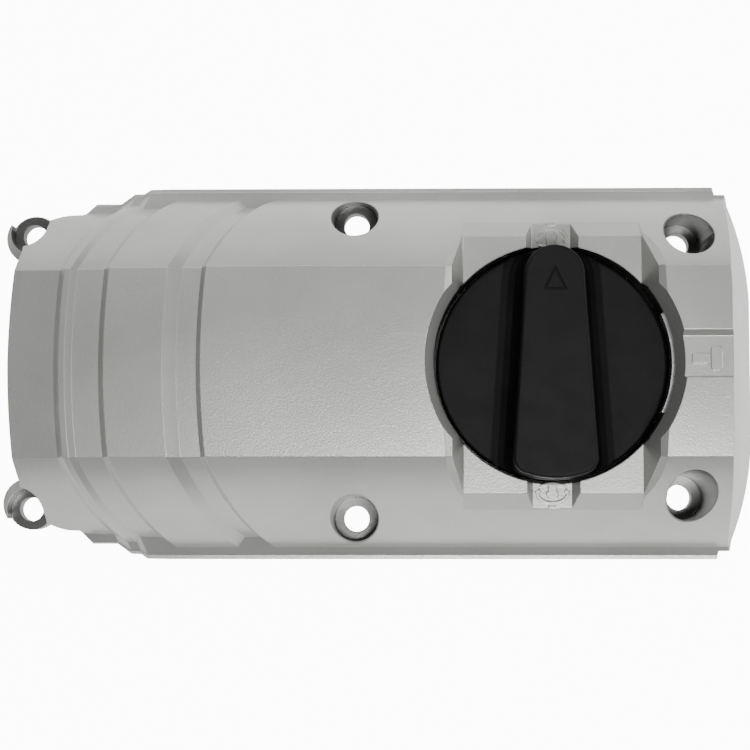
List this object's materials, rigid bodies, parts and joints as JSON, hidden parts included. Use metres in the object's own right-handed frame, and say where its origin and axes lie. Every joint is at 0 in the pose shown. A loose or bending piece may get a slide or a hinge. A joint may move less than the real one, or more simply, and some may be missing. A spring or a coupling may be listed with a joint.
{
  "type": "gear-case cover with rotary selector",
  "caption": "Stepped die-cast gear-case cover with a sunken rotary selector knob, crank spindle, detent, guided shift slide and fork",
  "frame": {"origin": "centre of the mating flange's plane, under the middle of the cover's bounding box", "axes": "+X from the stepped nose to the rear end, +Y across, +Z outwards from the mating flange towards the knob"},
  "size_m": [0.2002, 0.1006, 0.042],
  "materials": {
    "cast_cover": "satin silver-grey, fine cast texture",
    "black_plastic": "matt, finely textured",
    "bright_spring_steel": "bright rolled",
    "machined_steel": "turned and ground",
    "pressed_steel": "pressed and tumbled",
    "zinc_steel": "zinc plated",
    "black_oxide_steel": "black oxide, oiled",
    "brass": "machined",
    "bronze": "sintered bronze",
    "seal_rubber": "moulded nitrile"
  },
  "bodies": {
    "cover": {"gear_cover": "cast_cover", "flange_seal": "seal_rubber", "selector_bush": "bronze", "knob_clip": "bright_spring_steel", "detent_spring": "bright_spring_steel", "detent_spring_screw": "zinc_steel", "guide_screws": "zinc_steel", "guide_washers": "zinc_steel"},
    "selector": {"selector_knob": "black_plastic", "knob_insert": "brass", "selector_spindle": "machined_steel", "crank_pin": "machined_steel", "pin_roller": "machined_steel", "pin_clip": "black_oxide_steel", "spindle_circlip": "black_oxide_steel", "wave_washer": "bright_spring_steel", "spindle_o_ring": "seal_rubber", "knob_screw": "zinc_steel"},
    "shift_slide": {"shift_slide": "pressed_steel", "shift_fork": "machined_steel", "fork_pads": "bronze", "fork_rivets": "zinc_steel"}
  },
  "joints": [
    {"name": "knob_turn", "type": "hinge", "parent": "cover", "child": "selector", "pos_m": [0.0447, 0, 0.0165], "axis": [0, 0, 1], "range_deg": [-180, 0], "deforming": ["detent_spring"]},
    {"name": "shift_slide_move", "type": "slide", "parent": "cover", "child": "shift_slide", "axis": [1, 0, 0], "range_m": [-0.0002, 0.0106]}
  ],
  "couplings": [
    {"joint": "shift_slide_move", "follows": "knob_turn", "m_per_rad": -0.0033104}
  ]
}
